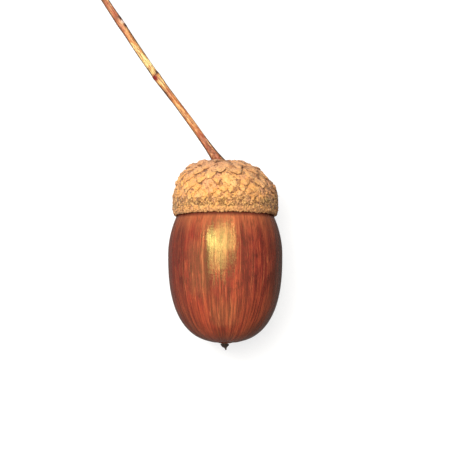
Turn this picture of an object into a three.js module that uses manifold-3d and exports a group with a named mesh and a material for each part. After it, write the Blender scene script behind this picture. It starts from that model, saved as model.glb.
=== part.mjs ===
// An English oak acorn with its stalk, lying on its side as it comes to rest on a table.
//
// Lengths are millimetres. +Z is up, +Y runs from the nut's tip towards the stalk, and the origin is the centre of the
// small flat spot on which the nut rests.
//
// The nut, its style tip and the cap are turned about the acorn's own axis. That axis is the Y axis of the acorn
// group, with y = 0 at the nut's widest ring, and the group leans a little, because the acorn rests on the nut's belly
// and on the rim of the cap. The stalk is set out in the table's frame, because its free end rests on the table.

import * as THREE from "three";
import { mergeVertices } from "three/addons/utils/BufferGeometryUtils.js";
import Module from "manifold-3d";

const QUARTER_TURN = Math.PI / 2;
const GAP = 0.25; // clearance left between pieces that touch

// Nut: a smooth, blunt barrel
const NUT_RADIUS = 9.0;
const NUT_TIP_LENGTH = 14.0; // from the widest ring to the pole at the tip
const NUT_BASE_LENGTH = 12.3; // from the widest ring to the pole inside the cap
const NUT_TIP_FULLNESS = 2.55; // exponent of the outline: 2 is an ellipse, and more is fuller
const NUT_BASE_FULLNESS = 1.86;
const NUT_STEPS = 13; // outline steps on each side of the widest ring
const NUT_SIDES = 56;

// Rest pose: the plane of the table meets the cap's rim and takes a thin slice off the nut's belly
const LEAN = THREE.MathUtils.degToRad(3.5); // the cap's end lies lower
const REST_FLAT_DEPTH = 0.1;

// Style tip: the flower's withered style, left on the nut's pole
const STYLE_RADIUS = 0.63;
const STYLE_LENGTH = 1.05;
const STYLE_BEND = 0.2; // how far its point leans to one side
const STYLE_SIDES = 10;

// Cap: a cup of scales around the nut's base, with a dimple where the stalk stands
const CAP_RADIUS = 8.3; // between the valleys and the tips of the scales
const CAP_WIDEST = 7.2; // height of the cap's widest ring
const CAP_RIM = 6.0; // height of the rim
const CAP_DOME = 7.6; // height of the dome above the widest ring
const CAP_FULLNESS = 2.2;
const CREST_RADIUS = 2.4; // the ring of scales round the dimple
const DIMPLE_RADIUS = 1.9;
const DIMPLE_DEPTH = 0.6;
const SCALES_ROUND = 26; // scales in each ring
const SCALE_RINGS = 11;
const RING_CROWDING = 1.25; // above 1, the rings lie closer together near the rim
const SCALE_RELIEF = 0.15;
const VALLEY_SHARE = 0.6; // depth of the valleys beside the tips, as a share of the relief
const BOWL_STEPS = 7;
const LIP_STEPS = 4;

// Stalk: woody, nearly straight, flared at the cap and knobbed at its free end
const STALK_SIDES = 10;
const STALK_STEPS = 52;
const STALK_RADIUS = 0.53;
const ROOT_RADIUS = 0.98;
const ROOT_FLARE = 0.07; // share of the length over which the flare dies away
const ROOT_SINK = 0.7; // how far the stalk runs on below its footing before it is cut off flat
const END_KNOB_RADIUS = 0.78;
const END_HEIGHT = 0.64; // of the free end's centre above the table
const KNOB_SPREAD = 0.025;
const SCAR_SWELLING = 0.11; // how far the stalk thickens at a scar
const SCAR_SPREAD = 0.012;
const SCARS = [0.449, 0.702]; // where undeveloped flowers fell off, as shares of the length

// A point on a quarter of a superellipse, (r / radius)^n + (y / height)^n = 1: at angle 0 it is on the widest ring,
// and at a quarter turn it is on the pole.
function outlinePoint(radius, height, fullness, angle) {
  return new THREE.Vector2(
    radius * Math.cos(angle) ** (2 / fullness),
    height * Math.sin(angle) ** (2 / fullness),
  );
}

// The nut's outline from the pole at its tip to the pole at its base.
function nutOutline() {
  const points = [];
  for (let step = -NUT_STEPS; step <= NUT_STEPS; step++) {
    const angle = (Math.abs(step) / NUT_STEPS) * QUARTER_TURN;
    points.push(
      step < 0
        ? outlinePoint(NUT_RADIUS, NUT_TIP_LENGTH, NUT_TIP_FULLNESS, angle).multiply(new THREE.Vector2(1, -1))
        : outlinePoint(NUT_RADIUS, NUT_BASE_LENGTH, NUT_BASE_FULLNESS, angle),
    );
  }
  return points;
}

// The height of the nut's axis above the lowest point of its leaning outline, and that point.
function lowestOf(outline) {
  let lowest = { drop: 0, point: null };
  for (const point of outline) {
    const drop = point.x * Math.cos(LEAN) + point.y * Math.sin(LEAN);
    if (drop > lowest.drop) lowest = { drop, point };
  }
  return lowest;
}

// The group that lays the acorn down: it leans the axis, and puts the flat spot's centre at the origin.
function lyingGroup() {
  const fineOutline = Array.from({ length: 400 }, (_, i) =>
    outlinePoint(NUT_RADIUS, NUT_BASE_LENGTH, NUT_BASE_FULLNESS, (i / 400) * QUARTER_TURN),
  );
  const { drop, point } = lowestOf(fineOutline);
  const group = new THREE.Group();
  group.name = "acorn";
  group.rotation.x = -LEAN;
  group.position.set(
    0,
    point.x * Math.sin(LEAN) - point.y * Math.cos(LEAN),
    drop - REST_FLAT_DEPTH,
  );
  group.updateMatrixWorld(true);
  return group;
}

// Everything below a level of a group's own frame, up to a depth that no piece reaches.
function slabBelow(level, depth) {
  const width = 4 * NUT_TIP_LENGTH;
  return new THREE.BoxGeometry(width, depth, width).translate(0, level - depth / 2, 0);
}

// A closed mesh as a manifold-3d solid.
function solidOf(wasm, geometry) {
  const bare = geometry.clone();
  bare.deleteAttribute("normal");
  bare.deleteAttribute("uv");
  const merged = mergeVertices(bare, 1e-4);
  return new wasm.Manifold(
    new wasm.Mesh({
      numProp: 3,
      vertProperties: merged.attributes.position.array,
      triVerts: new Uint32Array(merged.index.array),
    }),
  );
}

// A manifold-3d solid as a geometry.
function geometryOf(solid) {
  const { vertProperties, triVerts } = solid.getMesh();
  const geometry = new THREE.BufferGeometry()
    .setAttribute("position", new THREE.BufferAttribute(vertProperties, 3))
    .setIndex(new THREE.BufferAttribute(triVerts, 1));
  geometry.computeVertexNormals();
  return geometry;
}

// The nut: its outline turned about the axis, less what lies under the table's plane.
function nutGeometry(wasm, group) {
  const turned = new THREE.LatheGeometry(nutOutline(), NUT_SIDES);
  const table = slabBelow(0, NUT_RADIUS)
    .rotateX(QUARTER_TURN)
    .applyMatrix4(group.matrixWorld.clone().invert());
  return geometryOf(solidOf(wasm, turned).subtract(solidOf(wasm, table)));
}

// The style tip: a small cone, widest where it stands on the nut, with its point bent to one side.
function styleTipGeometry() {
  const outline = [
    new THREE.Vector2(0, -STYLE_LENGTH),
    new THREE.Vector2(0.2 * STYLE_RADIUS, -0.96 * STYLE_LENGTH),
    new THREE.Vector2(0.42 * STYLE_RADIUS, -0.62 * STYLE_LENGTH),
    new THREE.Vector2(STYLE_RADIUS, -0.2 * STYLE_LENGTH),
    new THREE.Vector2(0.92 * STYLE_RADIUS, 0),
    new THREE.Vector2(0, 0),
  ];
  const geometry = new THREE.LatheGeometry(outline, STYLE_SIDES);
  const position = geometry.attributes.position;
  for (let i = 0; i < position.count; i++) {
    const down = -position.getY(i) / STYLE_LENGTH;
    position.setX(i, position.getX(i) + STYLE_BEND * down ** 2);
  }
  return geometry;
}

// The inside of the cap: the nut's own outline grown by the gap, from its pole down to the rim.
function bowlOutline() {
  const radius = NUT_RADIUS + GAP;
  const height = NUT_BASE_LENGTH + GAP;
  const rimAngle = Math.asin((CAP_RIM / height) ** (NUT_BASE_FULLNESS / 2));
  return Array.from({ length: BOWL_STEPS + 1 }, (_, i) =>
    outlinePoint(
      radius,
      height,
      NUT_BASE_FULLNESS,
      QUARTER_TURN + (i / BOWL_STEPS) * (rimAngle - QUARTER_TURN),
    ),
  );
}

// The rounded lip, from just outside the bowl's edge to just under the cap's widest ring.
function lipOutline() {
  return Array.from({ length: LIP_STEPS }, (_, i) => {
    const angle = (i / LIP_STEPS) * QUARTER_TURN;
    const lipWidth = 0.3;
    return new THREE.Vector2(
      CAP_RADIUS - lipWidth + lipWidth * Math.sin(angle),
      CAP_WIDEST - (CAP_WIDEST - CAP_RIM) * Math.cos(angle),
    );
  });
}

// The outside of the cap from its widest ring to the crest round the dimple: two rows of points to each ring of
// scales.
function domeOutline() {
  const rows = 2 * SCALE_RINGS;
  const crestAngle = Math.acos((CREST_RADIUS / CAP_RADIUS) ** (CAP_FULLNESS / 2));
  return Array.from({ length: rows + 1 }, (_, row) =>
    outlinePoint(
      CAP_RADIUS,
      CAP_DOME,
      CAP_FULLNESS,
      (row / rows) ** RING_CROWDING * crestAngle,
    ).add(new THREE.Vector2(0, CAP_WIDEST)),
  );
}

// How far the scales stand out of the dome at one of its points. Every second row holds the tips, and each ring of
// tips is set half a scale round from the last one.
function scaleRelief(row, side) {
  if (row <= 0 || row % 2 === 0) return 0;
  const ring = (row - 1) / 2;
  return (side + ring) % 2 === 0 ? SCALE_RELIEF : -VALLEY_SHARE * SCALE_RELIEF;
}

// The cap: bowl, lip, dome and dimple turned about the axis, then the dome raised into scales.
function capGeometry() {
  const bowl = bowlOutline();
  const lip = lipOutline();
  const dome = domeOutline();
  const crest = dome.at(-1);
  const dimple = [
    new THREE.Vector2(DIMPLE_RADIUS, crest.y - 0.8 * DIMPLE_DEPTH),
    new THREE.Vector2(0.7 * DIMPLE_RADIUS, crest.y - DIMPLE_DEPTH),
    new THREE.Vector2(0, crest.y - DIMPLE_DEPTH),
  ];
  const outline = [...bowl, ...lip, ...dome, ...dimple];
  const firstDomePoint = bowl.length + lip.length;
  const geometry = new THREE.LatheGeometry(outline, 2 * SCALES_ROUND);
  const position = geometry.attributes.position;
  const point = new THREE.Vector3();
  for (let i = 0; i < position.count; i++) {
    const side = Math.floor(i / outline.length);
    const row = (i % outline.length) - firstDomePoint;
    if (row < 0 || row >= dome.length) continue;
    const relief = scaleRelief(row, side);
    point.fromBufferAttribute(position, i);
    const outward = new THREE.Vector3(point.x, point.y - CAP_WIDEST, point.z).normalize();
    point.addScaledVector(outward, relief);
    position.setXYZ(i, point.x, point.y, point.z);
  }
  return geometry;
}

// The stalk's centre line on the table's frame, from just below the dimple's floor to its free end on the table.
function stalkLine(group) {
  const root = new THREE.Vector3(-0.15, capFloor() - ROOT_SINK, 0).applyMatrix4(group.matrixWorld);
  return new THREE.CatmullRomCurve3([
    root,
    new THREE.Vector3(-2.95, 17.25, 7.2),
    new THREE.Vector3(-5.7, 21.15, 6.4),
    new THREE.Vector3(-11.5, 29, 4.9),
    new THREE.Vector3(-16.9, 37, 3.3),
    new THREE.Vector3(-24, 48, END_HEIGHT),
  ]);
}

// The height of the dimple's floor on the acorn's axis.
function capFloor() {
  return domeOutline().at(-1).y - DIMPLE_DEPTH;
}

// A bump of height 1 centred on a share of the length, which dies away over the spread.
function bump(along, centre, spread) {
  return Math.exp(-(((along - centre) / spread) ** 2));
}

// The stalk's radius at a share of its length.
function stalkRadius(along) {
  const flare = (ROOT_RADIUS - STALK_RADIUS) * Math.exp(-along / ROOT_FLARE);
  const knob = (END_KNOB_RADIUS - STALK_RADIUS) * bump(along, 0.975, KNOB_SPREAD);
  const scars = SCARS.reduce((sum, scar) => sum + SCAR_SWELLING * bump(along, scar, SCAR_SPREAD), 0);
  return STALK_RADIUS + flare + knob + scars;
}

// The stalk: turned straight along Y, bent so that its axis follows the centre line, then cut off flat a little above
// the dimple's floor.
function stalkGeometry(wasm, group) {
  const line = stalkLine(group);
  const outline = [new THREE.Vector2(0, 0)];
  for (let step = 0; step <= STALK_STEPS; step++) {
    const along = step / STALK_STEPS;
    outline.push(new THREE.Vector2(stalkRadius(along), along));
  }
  outline.push(new THREE.Vector2(0, 1));
  const geometry = new THREE.LatheGeometry(outline, STALK_SIDES);
  const position = geometry.attributes.position;
  const up = new THREE.Vector3(0, 0, 1);
  for (let i = 0; i < position.count; i++) {
    const along = position.getY(i);
    const centre = line.getPointAt(along);
    const tangent = line.getTangentAt(along);
    const side = tangent.clone().cross(up).normalize();
    const above = side.clone().cross(tangent);
    centre.addScaledVector(side, position.getX(i)).addScaledVector(above, position.getZ(i));
    position.setXYZ(i, centre.x, centre.y, centre.z);
  }
  const socket = slabBelow(capFloor() + GAP, NUT_RADIUS).applyMatrix4(group.matrixWorld);
  return geometryOf(solidOf(wasm, geometry).subtract(solidOf(wasm, socket)));
}

// A named mesh with its own material.
function piece(name, geometry, color, roughness) {
  const mesh = new THREE.Mesh(
    geometry,
    new THREE.MeshStandardMaterial({ color, roughness, metalness: 0 }),
  );
  mesh.name = name;
  return mesh;
}

async function buildAcorn() {
  const wasm = await Module();
  wasm.setup();
  const acorn = lyingGroup();

  const nut = piece("nut", nutGeometry(wasm, acorn), 0x9c4a2a, 0.3);
  const cap = piece("cap", capGeometry(), 0xd39c62, 0.9);
  const styleTip = piece("style_tip", styleTipGeometry(), 0x33241b, 0.85);
  styleTip.position.y = -(NUT_TIP_LENGTH + GAP);
  acorn.add(nut, cap, styleTip);

  const stalk = piece("stalk", stalkGeometry(wasm, acorn), 0xb5713f, 0.6);
  const model = new THREE.Group();
  model.add(acorn, stalk);
  return model;
}

export default await buildAcorn();
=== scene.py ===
"""A ripe oak acorn with its stalk, lying on its side on a pale table.

The acorn is made of four pieces: the nut, the withered style on the nut's tip, the cap of scales and the
stalk. Each is one surface, or one family of surfaces, worked out with numpy. Sizes are millimetres. The nut,
the style and the cap are drawn about the acorn's own axis, with y = 0 at the nut's widest ring and +y towards
the stalk, and `Seat` lays them down in the table's frame. Meshes are metres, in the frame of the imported
model.
"""

import logging
import math
from collections.abc import Sequence
from dataclasses import dataclass, field, fields
from enum import Enum

import bpy
import numpy as np
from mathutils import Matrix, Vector
from numpy.typing import NDArray


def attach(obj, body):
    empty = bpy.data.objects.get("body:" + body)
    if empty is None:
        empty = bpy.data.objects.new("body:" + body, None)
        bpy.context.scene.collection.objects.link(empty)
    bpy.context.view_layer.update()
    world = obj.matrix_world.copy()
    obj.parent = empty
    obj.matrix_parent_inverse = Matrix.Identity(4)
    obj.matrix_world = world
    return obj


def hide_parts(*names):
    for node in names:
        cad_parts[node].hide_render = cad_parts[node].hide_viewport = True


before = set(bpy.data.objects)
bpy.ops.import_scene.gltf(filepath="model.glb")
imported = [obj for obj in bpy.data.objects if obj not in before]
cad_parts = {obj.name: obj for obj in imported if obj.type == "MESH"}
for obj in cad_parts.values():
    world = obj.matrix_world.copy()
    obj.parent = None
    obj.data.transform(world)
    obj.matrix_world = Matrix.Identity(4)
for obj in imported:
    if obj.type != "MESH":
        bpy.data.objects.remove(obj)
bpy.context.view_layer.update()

Array = NDArray[np.float64]
Colour = tuple[float, float, float]
Place = tuple[float, float, float]
Socket = bpy.types.NodeSocket

MM = 0.001
TURN = 2 * math.pi
GOLDEN_ANGLE = TURN * (1 - 1 / 1.618034)
OUTLINE_STEPS = 400
MIX_FACTOR, MIX_UNDER, MIX_OVER, MIX_RESULT = 0, 6, 7, 2  # the sockets of a Mix node that blends colours
LOG = logging.getLogger("acorn")


class Slot(Enum):
    """The record's material slots."""

    NUT_SHELL = "nut_shell"
    CAP_SCALES = "cap_scales"
    DRY_STYLE = "dry_style"
    STALK_BARK = "stalk_bark"


class Way(Enum):
    """Ways of laying one colour over another."""

    COVER = "MIX"
    DARKEN = "MULTIPLY"
    LIGHTEN = "SCREEN"


def smooth_step(value: Array, low: float, high: float) -> Array:
    """0 below low, 1 above high, and 3t^2 - 2t^3 between them."""
    share = np.clip((value - low) / (high - low), 0, 1)
    return share * share * (3 - 2 * share)


def bump(value: Array, centre: float, spread: float) -> Array:
    """A bell of height 1: e to the minus square of the distance from the centre over the spread."""
    return np.exp(-(((value - centre) / spread) ** 2))


def turned_by(angle: Array, centre: float) -> Array:
    """The signed angle from a centre, brought between minus and plus half a turn."""
    return (angle - centre + math.pi) % TURN - math.pi


@dataclass(frozen=True)
class Unevenness:
    """A smooth random field of plane waves, for the small irregularities of growth."""

    wavelength: float
    seed: int
    waves: int = 30

    def at(self, points: Array) -> Array:
        """Adds up cosines that run in random directions, scaled to a spread of 1.

        Args:
            points: places of shape (..., 3).

        Returns:
            One number for each place, of shape (...).
        """
        rng = np.random.default_rng(self.seed)
        directions = rng.normal(size=(self.waves, 3))
        directions /= np.linalg.norm(directions, axis=1, keepdims=True)
        rates = TURN / (self.wavelength * rng.uniform(0.7, 1.5, (self.waves, 1)))
        phases = rng.uniform(0, TURN, self.waves)
        return np.cos(points @ (directions * rates).T + phases).sum(-1) / math.sqrt(self.waves / 2)


@dataclass
class Skin:
    """Closed surfaces gathered into one mesh, with named values on their points."""

    name: str
    points: list[Array] = field(default_factory=list)
    quads: list[NDArray[np.int64]] = field(default_factory=list)
    triangles: list[NDArray[np.int64]] = field(default_factory=list)
    values: dict[str, list[Array]] = field(default_factory=dict)
    count: int = 0

    def add(self, rings: Array, start: Array, end: Array, values: dict[str, Array]) -> None:
        """Adds closed surfaces, each a stack of rings with a pole at either end.

        Args:
            rings: points of shape (surfaces, rows, columns, 3). The last column joins the first.
            start: the pole before the first row, of shape (surfaces, 3).
            end: the pole after the last row, of shape (surfaces, 3).
            values: arrays of shape (surfaces, rows, columns), or with a last axis of 3. A pole takes the mean
                of its row.
        """
        surfaces, rows, columns, _ = rings.shape
        ids = np.arange(rows * columns).reshape(rows, columns)
        after = np.roll(ids, -1, axis=1)
        quads = np.stack([ids[:-1], after[:-1], after[1:], ids[1:]], axis=-1).reshape(-1, 4)
        first, last = rows * columns, rows * columns + 1
        fan_in = np.stack([np.full(columns, first), after[0], ids[0]], axis=-1)
        fan_out = np.stack([np.full(columns, last), ids[-1], after[-1]], axis=-1)
        fans = np.concatenate([fan_in, fan_out])
        if self._volume(rings[0], start[0], end[0], quads, fans) < 0:
            quads, fans = quads[:, ::-1], fans[:, ::-1]
        offsets = self.count + np.arange(surfaces)[:, None, None] * (rows * columns + 2)
        self.quads.append((quads[None] + offsets).reshape(-1, 4))
        self.triangles.append((fans[None] + offsets).reshape(-1, 3))
        self.points.append(self._with_poles(rings, start, end))
        for name, value in values.items():
            poles = value[:, 0].mean(axis=1), value[:, -1].mean(axis=1)
            self.values.setdefault(name, []).append(self._with_poles(value, *poles))
        self.count += surfaces * (rows * columns + 2)

    @staticmethod
    def _with_poles(rings: Array, start: Array, end: Array) -> Array:
        """Lists each surface's rings, then its two poles.

        Args:
            rings: points or values of shape (surfaces, rows, columns, ...).
            start: the pole before the first row, of shape (surfaces, ...).
            end: the pole after the last row, of shape (surfaces, ...).

        Returns:
            One flat list of the points or values.
        """
        surfaces = rings.shape[0]
        tail = rings.shape[3:]
        flat = rings.reshape(surfaces, -1, *tail)
        return np.concatenate([flat, start[:, None], end[:, None]], axis=1).reshape(-1, *tail)

    @staticmethod
    def _volume(rings: Array, start: Array, end: Array, quads: NDArray, fans: NDArray) -> float:
        """Six times the signed volume of one surface: the sum of a . (b x c) over its triangles.

        Args:
            rings: the surface's points, of shape (rows, columns, 3).
            start: the pole before the first row.
            end: the pole after the last row.
            quads: the corners of its four-sided faces.
            fans: the corners of the triangles at its poles.

        Returns:
            A number above 0 if the faces point outwards.
        """
        points = np.concatenate([rings.reshape(-1, 3), start[None], end[None]])
        corners = np.concatenate([quads[:, [0, 1, 2]], quads[:, [0, 2, 3]], fans])
        a, b, c = (points[corners[:, i]] for i in range(3))
        return float((a * np.cross(b, c)).sum())

    def piece(self, material: bpy.types.Material) -> bpy.types.Object:
        """Makes the mesh object, smooth shaded, with the material.

        Args:
            material: the finish of the whole piece.

        Returns:
            The object, linked to the scene, at the origin.
        """
        mesh = bpy.data.meshes.new(self.name)
        points = np.concatenate(self.points) * MM
        quads, triangles = np.concatenate(self.quads), np.concatenate(self.triangles)
        corners = np.concatenate([quads.ravel(), triangles.ravel()])
        triangle_starts = quads.size + np.arange(len(triangles)) * 3
        starts = np.concatenate([np.arange(len(quads)) * 4, triangle_starts])
        mesh.vertices.add(len(points))
        mesh.vertices.foreach_set("co", points.ravel())
        mesh.loops.add(len(corners))
        mesh.loops.foreach_set("vertex_index", corners.astype(np.int32))
        mesh.polygons.add(len(starts))
        mesh.polygons.foreach_set("loop_start", starts.astype(np.int32))
        mesh.update(calc_edges=True)
        mesh.validate()
        for name, parts in self.values.items():
            value = np.concatenate(parts)
            kind, key = ("FLOAT", "value") if value.ndim == 1 else ("FLOAT_VECTOR", "vector")
            mesh.attributes.new(name, kind, "POINT").data.foreach_set(key, value.ravel())
        mesh.shade_smooth()
        mesh.materials.append(material)
        made = bpy.data.objects.new(self.name, mesh)
        bpy.context.scene.collection.objects.link(made)
        return made


@dataclass(frozen=True)
class Grain:
    """A fractal noise: its rate along each axis, or along all of them, and how fine and how rough it is."""

    rate: Place | float
    detail: float = 3
    rough: float = 0.55


class Bench:
    """A workbench on which the nodes of one material are laid out."""

    def __init__(self, name: str) -> None:
        """Starts a material with one Principled shader.

        Args:
            name: the material's name.
        """
        self.material = bpy.data.materials.new(name)
        self.material.use_nodes = True
        self.tree = self.material.node_tree
        self.tree.nodes.clear()
        output = self.tree.nodes.new("ShaderNodeOutputMaterial")
        self.shader = self.tree.nodes.new("ShaderNodeBsdfPrincipled")
        self.tree.links.new(self.shader.outputs["BSDF"], output.inputs["Surface"])

    def fix(self, **values: float | Colour) -> None:
        """Sets constant values on the shader's own sockets.

        Args:
            values: the values by socket, with underscores for the spaces in its name.
        """
        for name, value in values.items():
            socket = self.shader.inputs[name.replace("_", " ")]
            socket.default_value = (*value, 1.0) if isinstance(value, tuple) else value

    def wire(self, source: Socket, name: str) -> None:
        """Links a socket to one of the shader's inputs."""
        self.tree.links.new(source, self.shader.inputs[name])

    def _node(self, kind: str, inputs: dict[str | int, object], **settings: object) -> bpy.types.Node:
        """Adds a node, sets its settings, and sets or links its inputs.

        Args:
            kind: the node's type.
            inputs: a socket to link, or a constant, for each input by its name or number.
            settings: the node's own properties.

        Returns:
            The node.
        """
        node = self.tree.nodes.new(kind)
        for name, value in settings.items():
            setattr(node, name, value)
        for name, value in inputs.items():
            if isinstance(value, Socket):
                self.tree.links.new(value, node.inputs[name])
            elif isinstance(value, tuple) and node.inputs[name].type == "RGBA":
                node.inputs[name].default_value = (*value, 1.0)
            else:
                node.inputs[name].default_value = value
        return node

    def number(self, name: str) -> Socket:
        """A value stored on the mesh's points."""
        return self._node("ShaderNodeAttribute", {}, attribute_name=name).outputs["Fac"]

    def vector(self, name: str) -> Socket:
        """A vector stored on the mesh's points."""
        return self._node("ShaderNodeAttribute", {}, attribute_name=name).outputs["Vector"]

    def place(self) -> Socket:
        """The point's place on the object, in metres."""
        return self._node("ShaderNodeTexCoord", {}).outputs["Object"]

    def length(self, vector: Socket) -> Socket:
        """The vector's length."""
        return self._node("ShaderNodeVectorMath", {0: vector}, operation="LENGTH").outputs["Value"]

    def stretched(self, vector: Socket, scale: Place) -> Socket:
        """The vector with each part scaled."""
        return self._node("ShaderNodeMapping", {"Vector": vector, "Scale": scale}).outputs["Vector"]

    def noise(self, vector: Socket, grain: Grain) -> Socket:
        """Fractal noise, mostly between 0.3 and 0.7.

        Args:
            vector: where the noise is read.
            grain: its rate, detail and roughness. A rate for each axis stretches the vector first.

        Returns:
            The noise.
        """
        scale = grain.rate
        if isinstance(scale, tuple):
            vector, scale = self.stretched(vector, scale), 1
        inputs = {"Vector": vector, "Scale": scale, "Detail": grain.detail, "Roughness": grain.rough}
        return self._node("ShaderNodeTexNoise", inputs).outputs["Fac"]

    def ramp(self, factor: Socket, stops: Sequence[tuple[float, Colour]]) -> Socket:
        """Colours along a factor, blended between their stops.

        Args:
            factor: a value between 0 and 1.
            stops: places along the factor, in rising order, and their colours.

        Returns:
            The colour.
        """
        node = self._node("ShaderNodeValToRGB", {"Fac": factor})
        band = node.color_ramp.elements
        band.remove(band[-1])
        for index, (position, colour) in enumerate(stops):
            element = band.new(position) if index else band[0]
            element.position = position
            element.color = (*colour, 1.0)
        return node.outputs["Color"]

    def lay(self, factor: Socket, under: Socket, over: Colour, way: Way = Way.COVER) -> Socket:
        """Lays one colour over another.

        Args:
            factor: how far it covers, from 0 to 1.
            under: the colour so far.
            over: the colour that is laid on it.
            way: how the two are blended.

        Returns:
            The new colour.
        """
        inputs = {MIX_FACTOR: factor, MIX_UNDER: under, MIX_OVER: over}
        node = self._node("ShaderNodeMix", {}, data_type="RGBA", blend_type=way.value)
        for index, value in inputs.items():
            if isinstance(value, Socket):
                self.tree.links.new(value, node.inputs[index])
            else:
                node.inputs[index].default_value = (*value, 1.0)
        return node.outputs[MIX_RESULT]

    def coat(
        self,
        under: Socket,
        over: Colour,
        value: Socket,
        start: float,
        full: float,
        share: float,
        way: Way = Way.COVER,
    ) -> Socket:
        """Lays a colour where a value passes from one level to another.

        Args:
            under: the colour so far.
            over: the colour that is laid on it.
            value: what decides where it lies.
            start: the value from which it shows, which may be the higher one.
            full: the value at which it has its whole share.
            share: how far it covers there, from 0 to 1.
            way: how the two are blended.

        Returns:
            The new colour.
        """
        return self.lay(self.span(value, start, full, (0, share)), under, over, way)

    def _worked(self, operation: str, *values: Socket | float) -> Socket:
        """The result of one operation on values or constants."""
        return self._node("ShaderNodeMath", dict(enumerate(values)), operation=operation).outputs[0]

    def plus(self, first: Socket, second: Socket | float) -> Socket:
        """The first value plus the second."""
        return self._worked("ADD", first, second)

    def minus(self, first: Socket, second: Socket | float) -> Socket:
        """The first value less the second."""
        return self._worked("SUBTRACT", first, second)

    def times(self, first: Socket, second: Socket | float) -> Socket:
        """The first value times the second."""
        return self._worked("MULTIPLY", first, second)

    def over(self, first: Socket, second: Socket | float) -> Socket:
        """The first value divided by the second."""
        return self._worked("DIVIDE", first, second)

    def larger(self, first: Socket, second: Socket | float) -> Socket:
        """The larger one of two values."""
        return self._worked("MAXIMUM", first, second)

    def unsigned(self, value: Socket) -> Socket:
        """The value without its sign."""
        return self._worked("ABSOLUTE", value)

    def mixed(self, *parts: tuple[Socket, float]) -> Socket:
        """The weighted mean of several values.

        Args:
            parts: the values, each with its weight.

        Returns:
            The mean.
        """
        whole = sum(weight for _, weight in parts)
        terms = [self.times(value, weight / whole) for value, weight in parts]
        total = terms[0]
        for term in terms[1:]:
            total = self.plus(total, term)
        return total

    def span(self, value: Socket, low: float, high: float, out: tuple[float, float] = (0, 1)) -> Socket:
        """The value's smooth step from low to high, between two results."""
        inputs = {"Value": value, "From Min": low, "From Max": high, "To Min": out[0], "To Max": out[1]}
        return self._node("ShaderNodeMapRange", inputs, interpolation_type="SMOOTHSTEP").outputs["Result"]

    def relief(self, height: Socket, depth: float, under: Socket | None = None) -> Socket:
        """Roughens the surface by a height.

        Args:
            height: the height, from 0 to 1.
            depth: what a height of 1 stands for, in millimetres.
            under: another relief that lies under this one.

        Returns:
            The surface's new normal.
        """
        inputs: dict[str | int, object] = {"Height": height, "Distance": depth * MM, "Strength": 1.0}
        if under is not None:
            inputs["Normal"] = under
        return self._node("ShaderNodeBump", inputs).outputs["Normal"]


@dataclass(frozen=True)
class Seat:
    """How the acorn lies: its axis leans down towards the cap, and a small spot on its belly is flat."""

    lean: float = math.radians(3.5)
    flat_depth: float = 0.1
    belly_radius: float = 9.0
    base_length: float = 12.3
    base_fullness: float = 1.86

    def origin(self) -> Array:
        """Where the widest ring's centre lies, once the lowest point of the leaning outline is flattened.

        Returns:
            The place (0, y, z) in the table's frame.
        """
        angle = np.linspace(0, math.pi / 2, OUTLINE_STEPS, endpoint=False)
        radius = self.belly_radius * np.cos(angle) ** (2 / self.base_fullness)
        height = self.base_length * np.sin(angle) ** (2 / self.base_fullness)
        drop = radius * math.cos(self.lean) + height * math.sin(self.lean)
        low = int(drop.argmax())
        along = radius[low] * math.sin(self.lean) - height[low] * math.cos(self.lean)
        return np.array([0.0, along, drop[low] - self.flat_depth])

    def place(self, points: Array) -> Array:
        """Turns points about the X axis by the lean and moves them to the seat.

        Args:
            points: places about the acorn's own axis, of shape (..., 3).

        Returns:
            The same places in the table's frame.
        """
        cos, sin = math.cos(self.lean), math.sin(self.lean)
        turn = np.array([[1, 0, 0], [0, cos, sin], [0, -sin, cos]])
        return points @ turn.T + self.origin()


def between(first: Array, second: Array, start: float, end: float, now: Array) -> Array:
    """The place between two places that are passed at the start and at the end, on the line through them."""
    return (first * (end - now) + second * (now - start)) / (end - start)


def about_axis(radius: Array, along: Array, angle: Array) -> Array:
    """Points at a radius, a height along the Y axis and an angle round it, from +X towards -Z."""
    return np.stack([radius * np.cos(angle), along + 0 * angle, -radius * np.sin(angle)], axis=-1)


def finish_piece(made: bpy.types.Object, node: str) -> None:
    """Fastens a piece to the frame in place of its plain solid, and logs it.

    Args:
        made: the piece.
        node: the plain solid that it replaces.
    """
    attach(made, "root")
    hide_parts(node)
    LOG.info("%s: %d points, %d faces", made.name, len(made.data.vertices), len(made.data.polygons))


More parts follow.
